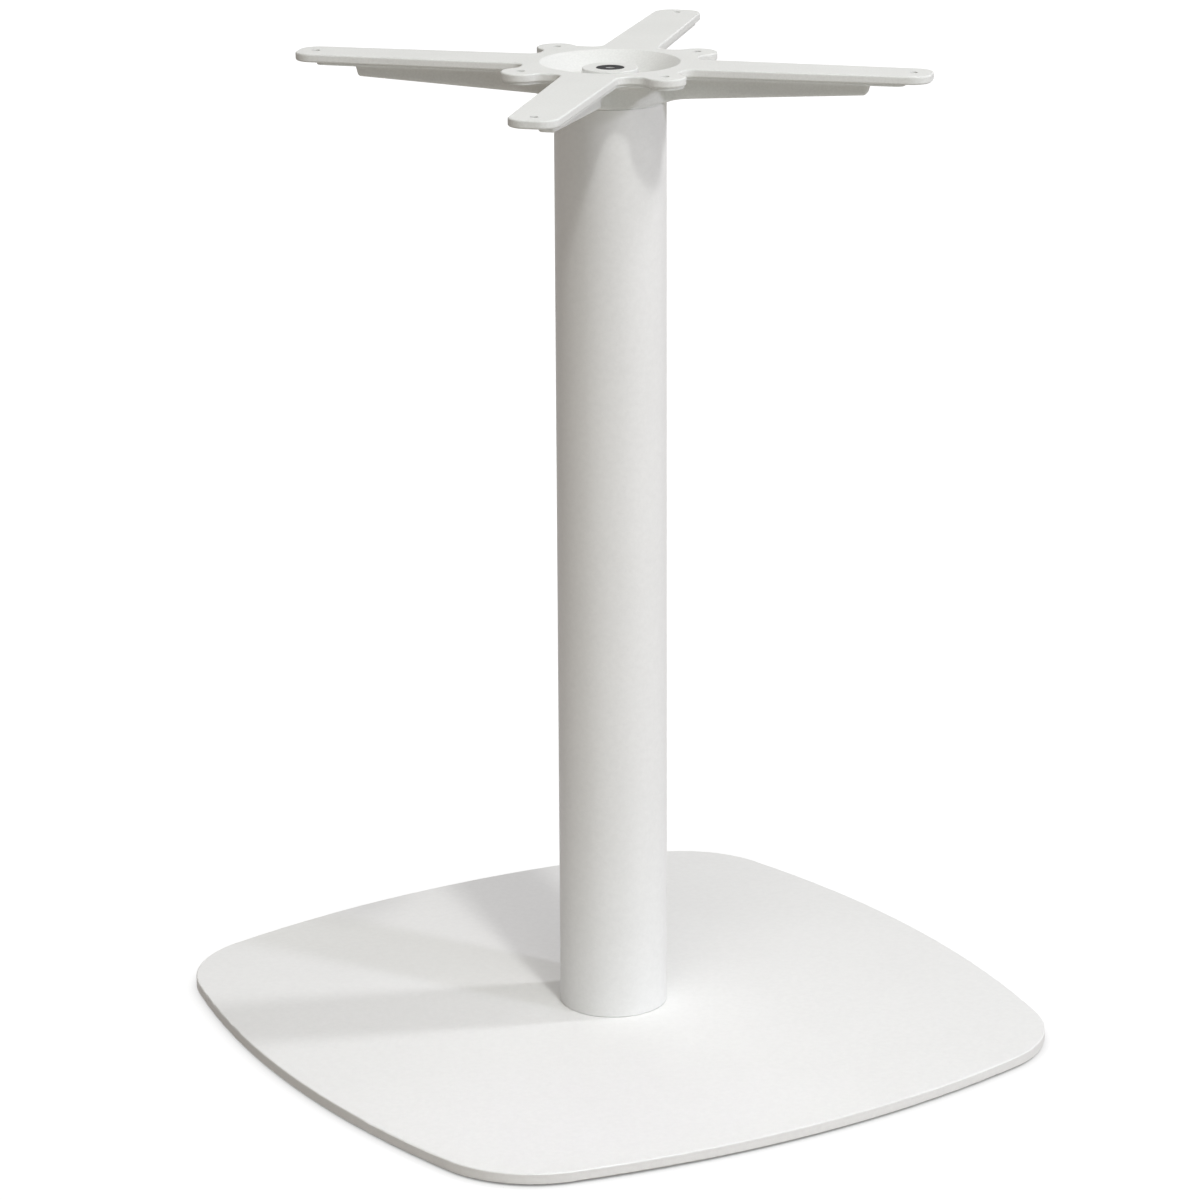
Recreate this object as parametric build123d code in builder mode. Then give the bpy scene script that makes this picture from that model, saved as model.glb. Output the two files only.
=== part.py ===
from build123d import *
from math import radians, sqrt, tan
import os

# Pedestal base for a dining table: steel floor plate, round column, cast four-arm spider under the top.
# Millimetres. The origin is on the floor, on the column's axis. +Z points up, X and Y run along
# the plate's sides, and the spider's arms point at the plate's corners.
total_height = 720
quarter_turns = 4
arm_turn = 45

# Floor plate: a square with bowed sides and large round corners
plate_width = 550
plate_thickness = 8
side_bow_radius = 815
corner_radius = 85
plate_edge_round = 1

# Push-in glides under the plate's corners
glide_pad_diameter = 28
glide_pad_height = 2
glide_pad_round = 0.8
glide_stem_diameter = 8
glide_stem_length = 5
glide_inset = 75
glide_clearance = 0.1

# Column tube and the two threaded discs welded inside its ends
column_diameter = 80
column_wall = 2
column_edge_round = 1
bore_edge_break = 0.3
disc_clearance = 0.1
disc_edge_break = 0.5
foot_disc_thickness = 12
head_disc_thickness = 10

# Spider flange: four tapering arms, and four screw ears with scallops beside them
spider_height = 27.5
flange_thickness = 6
flange_top_round = 1.2
flange_low_round = 1.5
arm_reach = 230
arm_root_width = 41
arm_tip_width = 35
arm_end_round = 13.5
ear_radius = 14.5
ear_hole_radius = 73
scallop_depth = 8.6
scallop_round = 8
tip_hole_inset = 13.5
table_hole_diameter = 6

# Thicker land under the flange, set back from its edges and from the arms' ends
land_thickness = 1.6
land_inset = 1.5
land_end_inset = 17.5
land_end_round = 6

# Upright rib under each arm, flaring into the hub
rib_thickness = 12
rib_end_inset = 43
rib_end_slant = 3
rib_end_depth = 16.7
rib_root_depth = 25
rib_flare = 16
rib_corner_round = 3
rib_root_round = 8
rib_edge_round = 2.2

# Hub: dished on top, with a screw boss in the dish and a spigot that fits the tube
hub_overhang = 0.4
hub_rim_round = 1.5
hub_collar_height = 6
hub_wall = 5.5
dish_margin = 7.5
dish_floor_radius = 31
dish_depth = 13
dish_floor_round = 6
dish_rim_round = 1.8
boss_diameter = 40
boss_drop = 4.3
boss_edge_round = 0.8
pillar_diameter = 26
spigot_length = 12
spigot_wall = 4
spigot_clearance = 0.2
head_disc_gap = 0.5

# Countersunk socket screws: one through the spider, a ring of four through the floor plate
spider_screw_thread = 10
spider_screw_head = 20
spider_screw_grip = 9
spider_screw_socket = 6
spider_screw_socket_depth = 4
plate_screw_thread = 8
plate_screw_head = 16
plate_screw_grip = 8
plate_screw_socket = 5
plate_screw_socket_depth = 3
plate_screw_ring_radius = 24
screw_head_edge = 0.4
countersink_angle = 90
screw_tip_chamfer = 1
screw_clearance = 0.3
thread_clearance = 0.1

# Heights and radii that follow from the sizes above
plate_bottom = glide_pad_height
plate_top = plate_bottom + plate_thickness
column_top = total_height - spider_height
bore_radius = column_diameter / 2 - column_wall
disc_radius = bore_radius - disc_clearance
spigot_radius = bore_radius - spigot_clearance
spigot_bottom = column_top - spigot_length
head_disc_top = spigot_bottom - head_disc_gap
hub_radius = column_diameter / 2 + hub_overhang
flange_bottom = total_height - flange_thickness
boss_top = total_height - boss_drop
tip_hole_radius = arm_reach - tip_hole_inset
body_half = ear_hole_radius / sqrt(2) + ear_radius - scallop_depth
cone_slope = tan(radians(countersink_angle / 2))
tight = 0.01

arms = Plane.XY.rotated((0, 0, arm_turn))


def countersunk_screw(thread, head, length, socket, socket_depth):
    # flat head at Z = 0 with its shank pointing down
    cone_foot = screw_head_edge + (head - thread) / 2 / cone_slope
    with BuildPart() as screw:
        with BuildSketch(Plane.XZ):
            with BuildLine():
                Polyline(
                    (0, 0),
                    (head / 2, 0),
                    (head / 2, -screw_head_edge),
                    (thread / 2, -cone_foot),
                    (thread / 2, screw_tip_chamfer - length),
                    (thread / 2 - screw_tip_chamfer, -length),
                    (0, -length),
                    close=True,
                )
            make_face()
        revolve(axis=Axis.Z)
        with BuildSketch():
            RegularPolygon(socket / 2, 6, major_radius=False)
        extrude(amount=-socket_depth, mode=Mode.SUBTRACT)
    return screw.part


def countersunk_hole(thread, head):
    # the mouth is wider than the head by as much as the cone opens over the head's straight edge
    mouth = head / 2 + screw_head_edge * cone_slope
    CounterSinkHole(thread / 2 + screw_clearance, mouth, counter_sink_angle=countersink_angle)


# Floor plate: each side is an arc through its middle, and neighbouring arcs meet on the diagonal
bow_centre = plate_width / 2 - side_bow_radius
arc_corner = (bow_centre + sqrt(2 * side_bow_radius**2 - bow_centre**2)) / 2
glide_spacing = plate_width - 2 * glide_inset

with BuildPart() as base_plate:
    with BuildSketch(Plane.XY.offset(plate_bottom)) as plate_outline:
        with BuildLine():
            side = ThreePointArc((arc_corner, -arc_corner), (plate_width / 2, 0), (arc_corner, arc_corner))
            for turn in range(1, quarter_turns):
                add(side.rotate(Axis.Z, turn * 360 / quarter_turns))
        make_face()
        fillet(plate_outline.vertices(), corner_radius)
    extrude(amount=plate_thickness)
    fillet(base_plate.faces().sort_by(Axis.Z)[-1].edges(), plate_edge_round)
    fillet(base_plate.faces().sort_by(Axis.Z)[0].edges(), plate_edge_round)
    underside = Plane(origin=(0, 0, plate_bottom), z_dir=(0, 0, -1))
    with Locations(underside):
        with GridLocations(glide_spacing, glide_spacing, 2, 2):
            Hole(glide_stem_diameter / 2 + glide_clearance, glide_stem_length + glide_clearance)
        with PolarLocations(plate_screw_ring_radius, quarter_turns):
            countersunk_hole(plate_screw_thread, plate_screw_head)


# Glide: a low pad with a stem pushed into the plate
with BuildPart() as glide:
    with BuildSketch():
        Circle(glide_pad_diameter / 2)
    extrude(amount=glide_pad_height)
    fillet(glide.faces().sort_by(Axis.Z)[0].edges(), glide_pad_round)
    with BuildSketch(Plane.XY.offset(glide_pad_height)):
        Circle(glide_stem_diameter / 2)
    extrude(amount=glide_stem_length)
    chamfer(glide.faces().sort_by(Axis.Z)[-1].edges(), glide_pad_round)


# Column tube with its end discs
with BuildPart() as column_tube:
    with BuildSketch(Plane.XY.offset(plate_top)):
        Circle(column_diameter / 2)
        Circle(bore_radius, mode=Mode.SUBTRACT)
    extrude(amount=column_top - plate_top)
    chamfer(column_tube.edges().filter_by(GeomType.CIRCLE).group_by(SortBy.RADIUS)[0], bore_edge_break)
    fillet(column_tube.edges().filter_by(GeomType.CIRCLE).group_by(SortBy.RADIUS)[-1], column_edge_round)

with BuildPart() as column_foot_disc:
    with BuildSketch(Plane.XY.offset(plate_top)):
        Circle(disc_radius)
    extrude(amount=foot_disc_thickness)
    chamfer(column_foot_disc.edges().filter_by(GeomType.CIRCLE), disc_edge_break)
    with Locations((0, 0, plate_top + foot_disc_thickness)):
        with PolarLocations(plate_screw_ring_radius, quarter_turns):
            Hole(plate_screw_thread / 2 + thread_clearance)

with BuildPart() as column_head_disc:
    with BuildSketch(Plane.XY.offset(head_disc_top - head_disc_thickness)):
        Circle(disc_radius)
    extrude(amount=head_disc_thickness)
    chamfer(column_head_disc.edges().filter_by(GeomType.CIRCLE), disc_edge_break)
    with Locations((0, 0, head_disc_top)):
        Hole(spider_screw_thread / 2 + thread_clearance)


# Spider flange: a square body with tapering arms, round ears at its corners and scallops between
def arm_half_width(radius):
    share = (radius - body_half) / (arm_reach - body_half)
    return (arm_root_width + (arm_tip_width - arm_root_width) * share) / 2


def spider_plan(reach, inset, end_round):
    root = arm_half_width(0) - inset
    tip = arm_half_width(reach) - inset
    half = body_half - inset
    with BuildSketch() as plan:
        Rectangle(2 * half, 2 * half)
        with PolarLocations(0, quarter_turns):
            Polygon((0, -root), (reach, -tip), (reach, tip), (0, root), align=None)
        with PolarLocations(ear_hole_radius, quarter_turns, start_angle=arm_turn):
            Circle(ear_radius - inset)
        notches = plan.vertices().filter_by(lambda v: max(abs(v.X), abs(v.Y)) < half + tight)
        fillet(notches, scallop_round)
        ends = plan.vertices().filter_by(lambda v: max(abs(v.X), abs(v.Y)) > reach - tight)
        fillet(ends, end_round)
        with PolarLocations(tip_hole_radius, quarter_turns):
            Circle(table_hole_diameter / 2, mode=Mode.SUBTRACT)
        with PolarLocations(ear_hole_radius, quarter_turns, start_angle=arm_turn):
            Circle(table_hole_diameter / 2, mode=Mode.SUBTRACT)
    return plan.sketch


with BuildPart() as spider_flange:
    with BuildSketch(arms.offset(flange_bottom)):
        add(spider_plan(arm_reach, 0, arm_end_round))
    extrude(amount=flange_thickness)
    top_face = spider_flange.faces().sort_by(Axis.Z)[-1]
    fillet(top_face.outer_wire().edges(), flange_top_round)
    low_face = spider_flange.faces().sort_by(Axis.Z)[0]
    fillet(low_face.outer_wire().edges(), flange_low_round)
    with BuildSketch(arms.offset(flange_bottom - land_thickness)):
        add(spider_plan(arm_reach - land_end_inset, land_inset, land_end_round))
    extrude(amount=land_thickness)


# Ribs and hub wall: their plan is cut to the side profile that every rib shares
rib_reach = arm_reach - rib_end_inset
rib_low_reach = rib_reach - rib_end_slant
rib_slope = (rib_root_depth - rib_end_depth) / (rib_low_reach - hub_radius)
rib_end = (rib_low_reach, total_height - rib_end_depth)
flare_start = (hub_radius + rib_flare, total_height - rib_root_depth + rib_slope * rib_flare)
hub_foot = (hub_radius, column_top)

with BuildPart() as spider_webs:
    with BuildSketch(arms.offset(column_top)) as web_plan:
        Circle(hub_radius)
        with PolarLocations(0, quarter_turns):
            Rectangle(rib_reach, rib_thickness, align=(Align.MIN, Align.CENTER))
        roots = web_plan.vertices().filter_by(lambda v: Vector(v.X, v.Y).length < hub_radius + tight)
        fillet(roots, rib_root_round)
    extrude(amount=spider_height - flange_thickness)
    with BuildSketch(Plane.XZ) as web_side:
        with BuildLine():
            Polyline(flare_start, rib_end, (rib_reach, flange_bottom), (0, flange_bottom), (0, column_top), hub_foot)
            TangentArc(flare_start, hub_foot, tangent=(-1, -rib_slope))
        make_face()
        fillet(web_side.vertices().sort_by_distance(rib_end)[0], rib_corner_round)
        fillet(web_side.vertices().sort_by_distance(hub_foot)[0], hub_rim_round)
    revolve(axis=Axis.Z, mode=Mode.INTERSECT)
    walls = spider_webs.faces().filter_by(lambda f: abs(f.normal_at().Z) < tight)
    low_edges = walls.edges().filter_by(Axis.Z, reverse=True)
    low_edges = low_edges.filter_by(lambda e: e.bounding_box().max.Z < flange_bottom - tight)
    fillet(low_edges, rib_edge_round)


# Whole casting: flange, webs, the bell under the dish, the spigot and the screw boss
dish_radius = body_half - dish_margin
dish_floor = total_height - dish_depth
dish_slope = dish_depth / (dish_radius - dish_floor_radius)
bell_shift = hub_wall * sqrt(1 + dish_slope**2) / dish_slope
bell_rim_radius = dish_radius - flange_thickness / dish_slope + bell_shift
bell_foot = total_height - (dish_radius + bell_shift - hub_radius) * dish_slope
cavity_radius = spigot_radius - spigot_wall
cavity_top = dish_floor - hub_wall

with BuildPart() as top_spider:
    add(spider_webs.part)
    with BuildSketch(Plane.XY.offset(column_top)):
        Circle(column_diameter / 2)
    extrude(amount=hub_collar_height)
    with BuildSketch(Plane.XY.offset(spigot_bottom)):
        Circle(spigot_radius)
    extrude(amount=spigot_length)
    with BuildSketch(Plane.XZ):
        Polygon(
            (0, flange_bottom),
            (bell_rim_radius, flange_bottom),
            (hub_radius, bell_foot),
            (0, bell_foot),
            align=None,
        )
    revolve(axis=Axis.Z)
    add(spider_flange.part)
    with BuildSketch(Plane.XZ) as dish_side:
        Polygon(
            (0, total_height),
            (dish_radius, total_height),
            (dish_floor_radius, dish_floor),
            (0, dish_floor),
            align=None,
        )
        fillet(dish_side.vertices().sort_by_distance((dish_floor_radius, dish_floor))[0], dish_floor_round)
    revolve(axis=Axis.Z, mode=Mode.SUBTRACT)
    with BuildSketch(Plane.XY.offset(spigot_bottom)):
        Circle(cavity_radius)
        Circle(pillar_diameter / 2, mode=Mode.SUBTRACT)
    extrude(amount=cavity_top - spigot_bottom, mode=Mode.SUBTRACT)
    with BuildSketch(Plane.XY.offset(dish_floor)):
        Circle(boss_diameter / 2)
    extrude(amount=boss_top - dish_floor)
    fillet(top_spider.faces().filter_by_position(Axis.Z, boss_top, boss_top).edges(), boss_edge_round)
    with Locations((0, 0, boss_top)):
        countersunk_hole(spider_screw_thread, spider_screw_head)
    top_face = top_spider.faces().sort_by(Axis.Z)[-1]
    fillet(top_face.inner_wires().sort_by(SortBy.LENGTH)[-1].edges(), dish_rim_round)


# Screws in place
with BuildPart() as spider_screw:
    with Locations((0, 0, boss_top)):
        add(
            countersunk_screw(
                spider_screw_thread,
                spider_screw_head,
                boss_top - head_disc_top + spider_screw_grip,
                spider_screw_socket,
                spider_screw_socket_depth,
            )
        )

with BuildPart() as plate_screws:
    with Locations(underside):
        with PolarLocations(plate_screw_ring_radius, quarter_turns):
            add(
                countersunk_screw(
                    plate_screw_thread,
                    plate_screw_head,
                    plate_thickness + plate_screw_grip,
                    plate_screw_socket,
                    plate_screw_socket_depth,
                )
            )

pieces = {
    "base_plate": base_plate.part,
    "column_tube": column_tube.part,
    "column_foot_disc": column_foot_disc.part,
    "column_head_disc": column_head_disc.part,
    "top_spider": top_spider.part,
    "spider_screw": spider_screw.part,
    "plate_screws": plate_screws.part,
}
for number, place in enumerate(GridLocations(glide_spacing, glide_spacing, 2, 2), 1):
    pieces[f"floor_glide_{number}"] = glide.part.moved(place)

os.makedirs("parts", exist_ok=True)
for name, piece in pieces.items():
    piece.label = name
    export_step(piece, f"parts/{name}.step")
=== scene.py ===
import math

import bmesh
import bpy
from mathutils import Matrix, Vector


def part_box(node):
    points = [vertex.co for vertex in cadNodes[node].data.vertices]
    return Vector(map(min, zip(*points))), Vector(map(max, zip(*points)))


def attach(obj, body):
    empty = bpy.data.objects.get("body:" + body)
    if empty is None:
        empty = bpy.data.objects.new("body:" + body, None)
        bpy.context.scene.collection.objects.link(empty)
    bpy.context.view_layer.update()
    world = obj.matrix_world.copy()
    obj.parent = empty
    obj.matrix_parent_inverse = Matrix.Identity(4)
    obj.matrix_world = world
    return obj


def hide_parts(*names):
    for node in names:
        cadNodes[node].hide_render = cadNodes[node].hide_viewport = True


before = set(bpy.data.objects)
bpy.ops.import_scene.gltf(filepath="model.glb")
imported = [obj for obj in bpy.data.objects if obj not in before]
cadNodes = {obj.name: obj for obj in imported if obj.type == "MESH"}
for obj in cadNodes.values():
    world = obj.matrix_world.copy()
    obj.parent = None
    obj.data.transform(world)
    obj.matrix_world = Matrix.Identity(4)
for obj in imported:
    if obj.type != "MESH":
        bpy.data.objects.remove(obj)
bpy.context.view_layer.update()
print("frame loaded:", len(cadNodes), "pieces")


class Socket:
    # a node's output that takes part in plain arithmetic
    def __init__(self, look, output):
        self.look = look
        self.output = output

    def maths(self, operation, first, second):
        return self.look.add("ShaderNodeMath", {"operation": operation}, {0: first, 1: second})

    def __add__(self, other):
        return self.maths("ADD", self, other)

    def __radd__(self, other):
        return self.maths("ADD", other, self)

    def __sub__(self, other):
        return self.maths("SUBTRACT", self, other)

    def __rsub__(self, other):
        return self.maths("SUBTRACT", other, self)

    def __mul__(self, other):
        return self.maths("MULTIPLY", self, other)

    def __rmul__(self, other):
        return self.maths("MULTIPLY", other, self)

    def __or__(self, other):
        return self.maths("MAXIMUM", self, other)


class Look:
    # the node tree of one material or of the world
    def __init__(self, owner):
        owner.use_nodes = True
        self.tree = owner.node_tree
        self.tree.nodes.clear()

    def add(self, kind, settings=None, sockets=None, out=0):
        # any node: its type, its settings, what its sockets hold, and which output is used
        node = self.tree.nodes.new(kind)
        for name, value in (settings or {}).items():
            if name == "stops":
                self.setStops(node.color_ramp.elements, value)
            else:
                setattr(node, name, value)
        for name, value in (sockets or {}).items():
            if isinstance(value, Socket):
                self.tree.links.new(value.output, node.inputs[name])
            else:
                node.inputs[name].default_value = value
        return Socket(self, node.outputs[out]) if node.outputs else node

    def setStops(self, elements, stops):
        for index, (place, shade) in enumerate(stops):
            stop = elements[index] if index < len(elements) else elements.new(place)
            stop.position = place
            stop.color = (shade, shade, shade, 1)

    def place(self):
        return self.add("ShaderNodeTexCoord", out="Object")  # metres in the part's own frame

    def noise(self, spacing, detail=2.0, rough=0.5):
        # soft lumps about spacing metres apart
        return self.add(
            "ShaderNodeTexNoise",
            {"noise_dimensions": "3D"},
            {"Vector": self.place(), "Scale": 1 / spacing, "Detail": detail, "Roughness": rough},
        )

    def ramp(self, value, stops):
        return self.add("ShaderNodeValToRGB", {"stops": stops}, {"Fac": value})

    def mixColour(self, mask, first, second, blend="MIX"):
        # a Mix node's colour sockets go by number, because their names repeat
        settings = {"data_type": "RGBA", "blend_type": blend}
        return self.add("ShaderNodeMix", settings, {0: mask, 6: first, 7: second}, out=2)

    def bump(self, height, depth, under=None):
        # depth is the real height of the lumps, in metres
        sockets = {"Height": height, "Distance": depth, "Strength": 1.0}
        if under is not None:
            sockets["Normal"] = under
        return self.add("ShaderNodeBump", None, sockets)

    def fromAxis(self):
        # distance from the column's axis
        flat = self.add("ShaderNodeVectorMath", {"operation": "MULTIPLY"}, {0: self.place(), 1: (1, 1, 0)})
        return self.add("ShaderNodeVectorMath", {"operation": "LENGTH"}, {0: flat}, out="Value")

    def height(self):
        return self.add("ShaderNodeSeparateXYZ", None, {"Vector": self.place()}, out="Z")

    def rings(self, radius, pitch):
        wave = self.add("ShaderNodeMath", {"operation": "SINE"}, {0: radius * (2 * math.pi / pitch)})
        return 0.5 + 0.5 * wave

    def mapped(self, value, low, high, atLow, atHigh):
        sockets = {"Value": value, "From Min": low, "From Max": high, "To Min": atLow, "To Max": atHigh}
        return self.add("ShaderNodeMapRange", {"interpolation_type": "SMOOTHSTEP"}, sockets)

    def surface(self, shader):
        self.add("ShaderNodeOutputMaterial", None, {"Surface": shader})

    def principled(self, sockets):
        self.surface(self.add("ShaderNodeBsdfPrincipled", None, sockets))


def makeMaterial(name):
    material = bpy.data.materials.new(name)
    return material, Look(material)


def turnedBy(degrees, axis):
    return Matrix.Rotation(math.radians(degrees), 4, axis)


def rgba(colour, share=1):
    return (*(channel * share for channel in colour), 1)


def between(ends, mask):
    low, high = ends
    return low + (high - low) * mask


def paint(material, *names):
    for name in names:
        slots = cadNodes[name].data.materials
        slots.clear()
        slots.append(material)


# powder coat: slow patches and fine grain in the colour, orange peel and dust-sized lumps in the surface
steelCoat = {
    "name": "steel_powder_coat",
    "colour": (0.832, 0.837, 0.827),
    "mottle": 0.985,  # share of the colour left in the darkest slow patches
    "mottleSize": 0.12,
    "grain": 0.965,  # share left in the darkest grain
    "grainSize": 0.0045,
    "grainDetail": (3.0, 0.75),  # octaves of finer grain, and how strong each is beside the one before
    "roughness": (0.5, 0.62),
    "shine": 0.3,
    "peelSize": 0.0028,
    "peelDepth": 0.00005,
    "lumpSize": 0.0006,
    "lumpDepth": 0.000012,
}

castCoat = {
    "name": "cast_powder_coat",
    "colour": (0.757, 0.768, 0.749),
    "mottle": 0.975,
    "mottleSize": 0.05,
    "grain": 0.95,
    "grainSize": 0.0016,
    "grainDetail": (1.0, 0.5),
    "roughness": (0.56, 0.74),
    "shine": 0.25,
    "peelSize": 0.003,
    "peelDepth": 0.00005,
    "lumpSize": 0.0009,
    "lumpDepth": 0.00003,
}

# what both coats share: octaves of each noise, and where along it a mask starts and ends
coatNoise = {
    "mottleDetail": 3.0,
    "mottleStops": [(0.35, 0), (0.65, 1)],
    "grainStops": [(0.35, 1), (0.65, 0)],
    "roughStops": [(0.3, 0), (0.7, 1)],
    "peelDetail": 1.5,
    "lumpDetail": 2.0,
}


def powderCoat(coat):
    material, look = makeMaterial(coat["name"])
    mottle = look.ramp(look.noise(coat["mottleSize"], coatNoise["mottleDetail"]), coatNoise["mottleStops"])
    grain = look.noise(coat["grainSize"], *coat["grainDetail"])
    specks = look.ramp(grain, coatNoise["grainStops"])
    peel = look.noise(coat["peelSize"], coatNoise["peelDetail"])
    lumps = look.noise(coat["lumpSize"], coatNoise["lumpDetail"])
    patches = look.mixColour(mottle, rgba(coat["colour"], coat["mottle"]), rgba(coat["colour"]))
    look.principled(
        {
            "Base Color": look.mixColour(specks, patches, rgba((1, 1, 1), coat["grain"]), "MULTIPLY"),
            "Roughness": between(coat["roughness"], look.ramp(grain, coatNoise["roughStops"])),
            "Normal": look.bump(lumps, coat["lumpDepth"], look.bump(peel, coat["peelDepth"])),
            "Specular IOR Level": coat["shine"],
        }
    )
    return material


paint(powderCoat(steelCoat), "base_plate", "column_tube")
paint(powderCoat(castCoat), "top_spider")
print("powder coats done")


# black oxide on the spider's screw: turned rings on its head, and bright bare steel painted over the
# socket's walls, a painted glint in the socket that also stands for the key's wear
oxide = {
    "black": (0.010, 0.010, 0.011),
    "dusty": (0.022, 0.022, 0.023),
    "wornGlint": (0.62, 0.62, 0.61),
    "patchSize": 0.004,
    "patchDetail": 4.0,
    "patchStops": [(0.4, 0), (0.7, 1)],
    "glintRadius": (0.0036, 0.0038),  # metres from the screw's axis
    "glintDepth": (0.0002, 0.0005, 0.0048, 0.005),  # metres below the head's face
    "glintShare": 0.85,
    "ringPitch": 0.0003,
    "ringDepth": 0.000008,
    "roughness": (0.6, 0.75),
    "shine": 0.15,
}


def blackOxide():
    material, look = makeMaterial("black_oxide")
    radius = look.fromAxis()
    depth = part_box("spider_screw")[1].z - look.height()
    patches = look.ramp(look.noise(oxide["patchSize"], oxide["patchDetail"]), oxide["patchStops"])
    inner, outer = oxide["glintRadius"]
    mouth, upper, lower, floor = oxide["glintDepth"]
    # painted glint: bright bare steel over the socket's walls and floor, partly the key's wear
    walls = look.mapped(depth, mouth, upper, 0, 1) * look.mapped(depth, lower, floor, 1, 0)
    wornGlint = walls * look.mapped(radius, inner, outer, oxide["glintShare"], 0)
    black = look.mixColour(patches, rgba(oxide["black"]), rgba(oxide["dusty"]))
    rings = look.rings(radius, oxide["ringPitch"])
    look.principled(
        {
            "Base Color": look.mixColour(wornGlint, black, rgba(oxide["wornGlint"])),
            "Metallic": wornGlint,
            "Roughness": between(oxide["roughness"], patches),
            "Normal": look.bump(rings, oxide["ringDepth"]),
            "Specular IOR Level": oxide["shine"],
        }
    )
    return material


# zinc with a cloudy bloom: turned rings on the column's discs, a fine grain on the plate's screws
discZinc = {
    "name": "disc_zinc",
    "bright": (0.66, 0.66, 0.66),
    "bloom": (0.50, 0.51, 0.53),
    "bloomSize": 0.012,
    "roughness": (0.28, 0.48),
    "ringPitch": 0.0006,
    "reliefDepth": 0.00001,
}

screwZinc = {
    "name": "screw_zinc",
    "bright": (0.68, 0.68, 0.67),
    "bloom": (0.52, 0.53, 0.55),
    "bloomSize": 0.003,
    "roughness": (0.24, 0.42),
    "grainSize": 0.0004,
    "reliefDepth": 0.000004,
}

# what both share: the bloom's octaves and how strong each is, and where its mask starts and ends
zincBloom = {
    "detail": (5.0, 0.6),
    "stops": [(0.35, 0), (0.7, 1)],
}


def zincPlate(zinc):
    material, look = makeMaterial(zinc["name"])
    bloom = look.ramp(look.noise(zinc["bloomSize"], *zincBloom["detail"]), zincBloom["stops"])
    if "ringPitch" in zinc:
        relief = look.rings(look.fromAxis(), zinc["ringPitch"])
    else:
        relief = look.noise(zinc["grainSize"])
    look.principled(
        {
            "Base Color": look.mixColour(bloom, rgba(zinc["bright"]), rgba(zinc["bloom"])),
            "Metallic": 1.0,
            "Roughness": between(zinc["roughness"], bloom),
            "Normal": look.bump(relief, zinc["reliefDepth"]),
        }
    )
    return material


# nylon glides: matt black with a moulded grain, scuffed grey where they meet the floor
nylon = {
    "black": (0.022, 0.022, 0.023),
    "scuff": (0.10, 0.10, 0.098),
    "scuffSize": 0.003,
    "scuffDetail": (6.0, 0.7),
    "scuffStops": [(0.45, 0), (0.62, 1)],
    "scuffHeight": (0.0001, 0.0006),  # metres above the floor
    "grainSize": 0.0005,
    "grainDetail": 1.0,
    "grainDepth": 0.00002,
    "roughness": (0.5, 0.68),
}


def nylonGlide():
    material, look = makeMaterial("glide_nylon")
    low, high = nylon["scuffHeight"]
    marks = look.ramp(look.noise(nylon["scuffSize"], *nylon["scuffDetail"]), nylon["scuffStops"])
    scuffs = look.mapped(look.height(), low, high, 1, 0) * marks
    grain = look.noise(nylon["grainSize"], nylon["grainDetail"])
    look.principled(
        {
            "Base Color": look.mixColour(scuffs, rgba(nylon["black"]), rgba(nylon["scuff"])),
            "Roughness": between(nylon["roughness"], grain),
            "Normal": look.bump(grain, nylon["grainDepth"]),
        }
    )
    return material


paint(zincPlate(discZinc), "column_foot_disc", "column_head_disc")
paint(nylonGlide(), *(name for name in cadNodes if name.startswith("floor_glide")))
print("discs and glides done")


# countersunk socket screws with cut threads, which stand for the plain ones
screwSizes = {
    "spider_screw": {
        "slot": "black_steel",
        "count": 1,
        "headUp": True,
        "thread": 0.010,
        "pitch": 0.0015,
        "head": 0.020,
        "socket": 0.006,  # across the flats
        "socketDepth": 0.004,
    },
    "plate_screws": {
        "slot": "bare_steel",
        "count": 4,
        "headUp": False,
        "thread": 0.008,
        "pitch": 0.00125,
        "head": 0.016,
        "socket": 0.005,
        "socketDepth": 0.003,
    },
}

screwForm = {
    "columns": 48,  # points round the screw, eight to each side of the socket
    "socketPoint": 0.0006,  # how far the drill's point went below the socket's floor
    "mouthChamfer": 0.0003,
    "rimRound": 0.0002,
    "headEdge": 0.0004,  # height of the head's rim
    "neck": 0.0006,  # plain shank between the head and the thread
    "tipChamfer": 0.001,
    "threadDepth": 0.6134,  # share of the pitch
    "profile": [(0, 0), (1 / 8, 0), (7 / 16, 1), (11 / 16, 1)],  # place along the pitch, share of the depth
    "sharpAngle": 15,  # degrees between faces that meet in a crease
    "weld": 1e-6,  # points closer than this become one
    "sliver": 1e-7,  # edges shorter than this go
}


def headRows(screw):
    # rows of (radius, depth below the head's face), from the socket's floor to the shank
    columns = screwForm["columns"]
    chamfer = screwForm["mouthChamfer"]
    curve = screwForm["rimRound"]
    head = screw["head"] / 2
    shank = screw["thread"] / 2
    sixth = math.pi / 3
    turns = [2 * math.pi * column / columns for column in range(columns)]
    hexagon = [screw["socket"] / 2 / math.cos(turn % sixth - sixth / 2) for turn in turns]
    bend = curve * (1 - math.sqrt(0.5))
    rounds = [
        (max(hexagon) + chamfer, 0),
        (head - curve, 0),
        (head - bend, bend),
        (head, curve),
        (head, screwForm["headEdge"]),
        (shank, screwForm["headEdge"] + head - shank),
    ]
    rows = [[(radius, depth) for radius in hexagon] for depth in (screw["socketDepth"], chamfer)]
    return rows + [[spot] * columns for spot in rounds]


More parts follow.
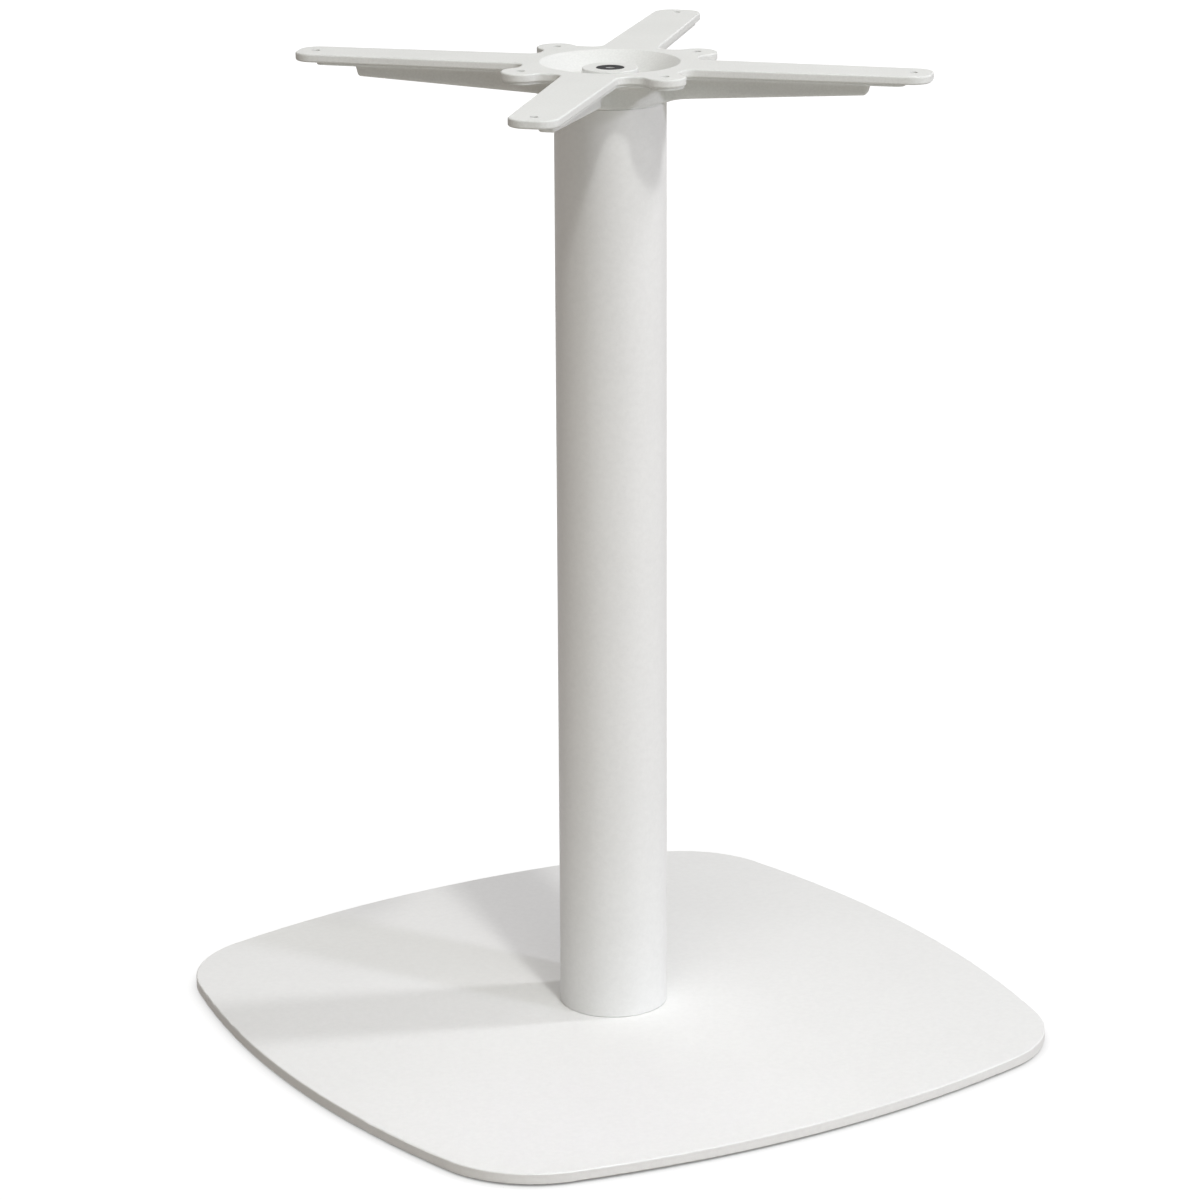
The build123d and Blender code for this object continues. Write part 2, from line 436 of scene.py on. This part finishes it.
def threadRows(screw, start, length):
    # rows that wind down the shank, one for each corner of the thread's profile in each turn
    columns = screwForm["columns"]
    pitch = screw["pitch"]
    radius = screw["thread"] / 2
    chamferTop = length - screwForm["tipChamfer"]

    def spot(along, share):
        depth = min(max(start + pitch * along, start), length)
        runOut = min((depth - start) / pitch, 1)
        groove = share * runOut * screwForm["threadDepth"] * pitch
        return radius - max(groove, depth - chamferTop), depth

    turns = math.ceil((length - start) / pitch) + 1
    corners = [(turn + along, share) for turn in range(turns) for along, share in screwForm["profile"]]
    corners.append((turns, 0))
    return [
        [spot(along - column / columns, share) for column in range(columns)]
        for along, share in corners
    ]


def screwShell(screw, length):
    # points and faces of one screw, with its head's face at zero and its tip below
    columns = screwForm["columns"]
    head = headRows(screw)
    first = len(head)
    rows = head + threadRows(screw, head[-1][0][1] + screwForm["neck"], length)
    last = len(rows) - 1
    perTurn = len(screwForm["profile"])

    def corner(row, column):
        if column == columns:  # the thread's rows meet those of the turn before
            row = max(row - perTurn, first) if row >= first else row
            column = 0
        return row * columns + column

    points = []
    for row in rows:
        for column, (radius, depth) in enumerate(row):
            turn = 2 * math.pi * column / columns
            points.append(Vector((radius * math.cos(turn), radius * math.sin(turn), -depth)))
    socketFloor = len(points)
    tip = socketFloor + 1
    points.append(Vector((0, 0, -screw["socketDepth"] - screwForm["socketPoint"])))
    points.append(Vector((0, 0, -length)))
    faces = []
    for column in range(columns):
        faces.append((socketFloor, corner(0, column + 1), corner(0, column)))
        faces.append((tip, corner(last, column), corner(last, column + 1)))
        for row in range(last):
            upper = (corner(row, column), corner(row, column + 1))
            lower = (corner(row + 1, column + 1), corner(row + 1, column))
            faces.append(upper + lower)
    return points, faces


def screwPlaces(node, screw):
    low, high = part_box(node)
    ring = (high.x - low.x - screw["head"]) / 2
    middle = (low + high) / 2
    for number in range(screw["count"]):
        out = turnedBy(360 * number / screw["count"], "Z") @ Vector((ring, 0, 0))
        face = high.z if screw["headUp"] else low.z
        over = turnedBy(0 if screw["headUp"] else 180, "X")
        yield Matrix.Translation((middle.x + out.x, middle.y + out.y, face)) @ over


def makeScrews(node, material):
    screw = screwSizes[node]
    low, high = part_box(node)
    points, faces = screwShell(screw, high.z - low.z)
    shape = bmesh.new()
    for place in screwPlaces(node, screw):
        corners = [shape.verts.new(place @ point) for point in points]
        for face in faces:
            different = list(dict.fromkeys(face))
            if len(different) > 2:
                shape.faces.new([corners[number] for number in different])
    bmesh.ops.remove_doubles(shape, verts=shape.verts, dist=screwForm["weld"])
    bmesh.ops.dissolve_degenerate(shape, edges=shape.edges, dist=screwForm["sliver"])
    bmesh.ops.recalc_face_normals(shape, faces=shape.faces)
    mesh = bpy.data.meshes.new(node + "_threaded")
    shape.to_mesh(mesh)
    shape.free()
    mesh.polygons.foreach_set("use_smooth", [True] * len(mesh.polygons))
    mesh.set_sharp_from_angle(angle=math.radians(screwForm["sharpAngle"]))
    mesh.materials.append(material)
    piece = bpy.data.objects.new(node + "_threaded", mesh)
    bpy.context.scene.collection.objects.link(piece)
    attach(piece, "root")
    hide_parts(node)


makeScrews("spider_screw", blackOxide())
makeScrews("plate_screws", zincPlate(screwZinc))
print("screws done")


# floor and background: white to the eye, with the object's shadow kept, and a painted shade line under the
# plate
stageLook = {
    "floorSize": 60.0,
    "floorColour": (0.5, 0.47, 0.43),  # what the object gets back from the floor
    "nearGlow": 0.92,  # light that the eye gets from the floor near the object without any lamp
    "nearRadius": 0.5,
    "farRadius": 1.6,  # the floor is plain white from here on
    "shadowColour": (0.13, 0.13, 0.13),  # the part of the floor that the lamps light, for the shadow
    "paintedShadeReach": 0.011,  # painted shade: how far the dark line reaches out from under the plate
    "paintedShadeStops": [(0.0, 0.04), (0.3, 0.7), (0.9, 1.0)],  # painted shade: how open the floor is there, share of its glow left
    "sky": (1.0, 0.86, 0.78),
    "skyFill": 0.168,  # light that the object gets from all round
}


def seenDirectly(look):
    # rays that show the white: straight to the eye, mirrored or through glass
    straight, mirrored, through = (
        look.add("ShaderNodeLightPath", out=ray)
        for ray in ("Is Camera Ray", "Is Glossy Ray", "Is Transmission Ray")
    )
    return straight | mirrored | through


def makeFloor():
    half = stageLook["floorSize"] / 2
    corners = [(-half, -half, 0), (half, -half, 0), (half, half, 0), (-half, half, 0)]
    mesh = bpy.data.meshes.new("floor")
    mesh.from_pydata(corners, [], [(0, 1, 2, 3)])
    floor = bpy.data.objects.new("floor", mesh)
    bpy.context.scene.collection.objects.link(floor)
    material, look = makeMaterial("studio_floor")
    plain = look.add("ShaderNodeBsdfDiffuse", None, {"Color": rgba(stageLook["floorColour"])})
    shadowed = look.add("ShaderNodeBsdfDiffuse", None, {"Color": rgba(stageLook["shadowColour"])})
    radii = (stageLook["nearRadius"], stageLook["farRadius"])
    spread = look.mapped(look.fromAxis(), *radii, stageLook["nearGlow"], 1)
    reach = {"Distance": stageLook["paintedShadeReach"]}
    # painted contact shadow: the floor's glow is darkened where the plate hides it
    openness = look.add("ShaderNodeAmbientOcclusion", None, reach, out="AO")
    paintedContactShade = look.ramp(openness, stageLook["paintedShadeStops"])
    glow = look.add("ShaderNodeEmission", None, {"Color": spread * paintedContactShade})
    white = look.add("ShaderNodeAddShader", None, {0: glow, 1: shadowed})
    look.surface(look.add("ShaderNodeMixShader", None, {0: seenDirectly(look), 1: plain, 2: white}))
    mesh.materials.append(material)


def makeSky():
    world = bpy.data.worlds.new("studio_sky")
    bpy.context.scene.world = world
    look = Look(world)
    soft = {"Color": rgba(stageLook["sky"]), "Strength": stageLook["skyFill"]}
    fill = look.add("ShaderNodeBackground", None, soft)
    white = look.add("ShaderNodeBackground", None, {"Color": rgba((1, 1, 1)), "Strength": 1.0})
    mixed = look.add("ShaderNodeMixShader", None, {0: seenDirectly(look), 1: fill, 2: white})
    look.add("ShaderNodeOutputWorld", None, {"Surface": mixed})


makeFloor()
makeSky()
print("floor and background done")


# camera, placed round the column's axis, in metres and degrees
shot = {
    "distance": 3.069,
    "height": 1.25765,
    "turn": 31.6,  # degrees round the column, clockwise from above
    "pan": -0.166,
    "pitch": 16.943,
    "roll": -0.27,
    "lens": 131.53,
    "sensor": 36.0,
}


def makeCamera():
    data = bpy.data.cameras.new("camera")
    data.lens = shot["lens"]
    data.sensor_width = shot["sensor"]
    camera = bpy.data.objects.new("camera", data)
    bpy.context.scene.collection.objects.link(camera)
    place = turnedBy(-shot["turn"], "Z") @ Vector((0, -shot["distance"], shot["height"]))
    pan = turnedBy(-shot["turn"] - shot["pan"], "Z")
    tilt = turnedBy(90 - shot["pitch"], "X") @ turnedBy(shot["roll"], "Z")
    camera.matrix_world = Matrix.Translation(place) @ pan @ tilt
    bpy.context.scene.camera = camera


makeCamera()


# lamps: place is degrees to the right of the camera, degrees above the floor, and metres from the aim
lampAim = Vector((0, 0, 0.4))  # a little above the middle of the column
plateEdge = Vector((-0.136, -0.221, 0))  # near the edge of the plate on the camera's side

lamps = {
    "front": {"place": (20, 59, 8.0), "size": 0.56, "power": 166, "colour": (1.0, 1.0, 0.98)},
    "right": {"place": (60, 28, 5.0), "size": 0.5, "power": 55, "colour": (0.98, 0.98, 1.1)},
    "side": {"place": (100, 44, 8.0), "size": 0.8, "power": 152, "colour": (0.99, 0.99, 1.02)},
    "softFront": {"place": (0, 55, 8.0), "size": 5.9, "power": 172, "colour": (1.02, 1.0, 0.97)},
    "lowFront": {"place": (30, 20, 3.0), "size": 2.2, "power": 10.0, "colour": (0.86, 1.02, 1.04)},
    "overhead": {"place": (0, 90, 8.0), "size": 5.9, "power": 55, "colour": (0.92, 1.02, 1.02)},
    "plateFront": {
        "place": (15, 70, 4.0),
        "aim": plateEdge,
        "size": 0.3,
        "power": 0.052,
        "colour": (0.98, 1.0, 1.06),
        "spread": 10,  # degrees: a narrow cone at the front of the plate
    },
    "rear": {
        "place": (180, 9, 6.0),
        "size": 3.0,
        "power": 60,
        "colour": (0.95, 1.0, 1.04),
        "gloss": False,  # lights the back of the column without a sheen on the plate
    },
}


def makeLamp(name, lamp):
    turn, lift, reach = lamp["place"]
    data = bpy.data.lights.new(name, "AREA")
    data.shape = "DISK"
    data.size = lamp["size"]
    data.energy = lamp["power"]
    data.color = lamp["colour"]
    if "spread" in lamp:
        data.spread = math.radians(lamp["spread"])
    light = bpy.data.objects.new(name, data)
    bpy.context.scene.collection.objects.link(light)
    light.visible_glossy = lamp.get("gloss", True)
    away = turnedBy(turn - shot["turn"], "Z") @ turnedBy(-lift, "X") @ Vector((0, -1, 0))
    light.location = lamp.get("aim", lampAim) + reach * away
    light.rotation_euler = away.to_track_quat("Z", "Y").to_euler()


for name, lamp in lamps.items():
    makeLamp(name, lamp)
bpy.context.scene.view_settings.view_transform = "Standard"
print("camera and lamps done")
